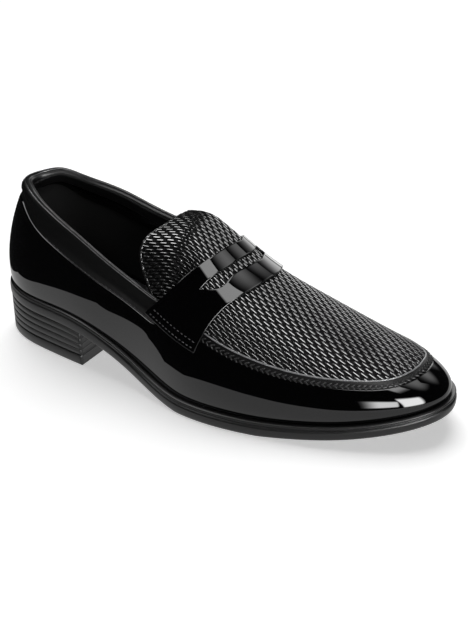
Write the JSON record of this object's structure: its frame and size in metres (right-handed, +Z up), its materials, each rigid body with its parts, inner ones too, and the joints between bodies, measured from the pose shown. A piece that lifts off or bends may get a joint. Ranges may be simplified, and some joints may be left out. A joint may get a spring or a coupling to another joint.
{
  "type": "slip-on loafer shoe",
  "caption": "Right-foot slip-on dress loafer with a raised apron front, embossed plug and tongue, slotted saddle strap, padded collar band and ribbed block heel.",
  "frame": {"origin": "on the floor under the middle of the shoe's box", "axes": "+X towards the toe, +Z up, -Y towards the outer (lateral) side"},
  "size_m": [0.2994, 0.1072, 0.106],
  "materials": {
    "outsole": "black moulded rubber, satin",
    "heel": "black moulded rubber, satin, grooved",
    "top_lift": "black rubber, matt",
    "insole": "dark grey lining leather over thin foam, matt",
    "patent": "black patent leather, mirror gloss",
    "embossed": "black embossed leather with a raised lattice, gloss",
    "border": "black smooth leather border, gloss",
    "collar": "black soft smooth leather, padded, satin",
    "lining": "black lining leather, matt"
  },
  "bodies": {
    "root": {"outsole": "outsole", "top_lift": "top_lift", "heel": "heel", "insole": "insole", "upper": "patent", "plug": "embossed", "apron_rim": "border", "collar_band": "collar", "saddle_strap": "patent"}
  },
  "joints": []
}
